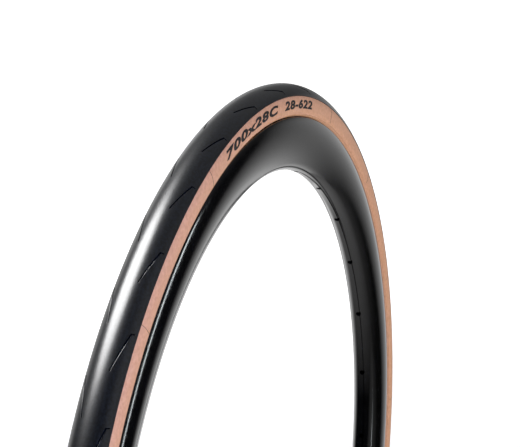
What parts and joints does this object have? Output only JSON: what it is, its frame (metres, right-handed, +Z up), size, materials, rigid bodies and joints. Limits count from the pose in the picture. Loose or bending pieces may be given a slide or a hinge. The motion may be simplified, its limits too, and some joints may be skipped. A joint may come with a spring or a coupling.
{
  "type": "bicycle tyre",
  "caption": "Tan-sidewall road bicycle tyre with slanted tread grooves, seated on a deep hollow black rim with an empty spoke bed and a tubeless valve.",
  "frame": {"origin": "centre of the wheel, on the axle line and in the tyre's middle plane", "axes": "+Y along the axle line, +Z up with the valve at the bottom, +X round the front of the wheel"},
  "size_m": [0.6815, 0.028, 0.6816],
  "materials": {
    "tread_rubber": "matte",
    "belt_weave": "woven",
    "casing_cord": "rubbered cord",
    "tan_skin": "satin",
    "bead_fibre": "matte",
    "chafer_rubber": "matte",
    "liner_rubber": "matte",
    "carbon_shell": "satin gloss",
    "tape_film": "film",
    "stem_metal": "black anodised",
    "valve_rubber": "matte",
    "core_brass": "nickel tint",
    "seal_plastic": "matte",
    "nut_black": "black anodised",
    "cap_plastic": "moulded"
  },
  "bodies": {
    "wheel": {"tread_cap": "tread_rubber", "puncture_belt": "belt_weave", "casing": "casing_cord", "sidewall_left": "tan_skin", "sidewall_right": "tan_skin", "bead_core_left": "bead_fibre", "bead_core_right": "bead_fibre", "chafer_left": "chafer_rubber", "chafer_right": "chafer_rubber", "inner_liner": "liner_rubber", "rim_hoop": "carbon_shell", "rim_tape": "tape_film", "valve_stem": "stem_metal", "valve_grommet": "valve_rubber", "valve_core_body": "core_brass", "valve_core_seal": "seal_plastic"},
    "lock_seal": {"lock_nut_seal": "valve_rubber"},
    "lock_nut": {"valve_lock_nut": "nut_black"},
    "core_pin": {"valve_core_pin": "core_brass", "valve_pin_seal": "valve_rubber"},
    "thumb_nut": {"valve_thumb_nut": "core_brass"},
    "cap": {"valve_cap": "cap_plastic"}
  },
  "joints": [
    {"name": "lock_nut_turn", "type": "hinge", "parent": "lock_seal", "child": "lock_nut", "pos_m": [0, 0, -0.2733], "axis": [0, 0, 1], "range_deg": [0, 4500]},
    {"name": "lock_seal_slide", "type": "slide", "parent": "wheel", "child": "lock_seal", "axis": [0, 0, 1], "range_m": [0, 0.01]},
    {"name": "core_pin_press", "type": "slide", "parent": "wheel", "child": "core_pin", "axis": [0, 0, 1], "range_m": [-0.0024, 0], "stiffness_N_per_m": 20, "springref_m": 0.001},
    {"name": "thumb_nut_run", "type": "slide", "parent": "core_pin", "child": "thumb_nut", "axis": [0, 0, 1], "range_m": [0, 0.003]},
    {"name": "cap_pull", "type": "slide", "parent": "wheel", "child": "cap", "axis": [0, 0, 1], "range_m": [0, 0.025]}
  ],
  "couplings": [
    {"joint": "lock_nut_turn", "follows": "lock_seal_slide", "rad_per_m": 7854}
  ]
}
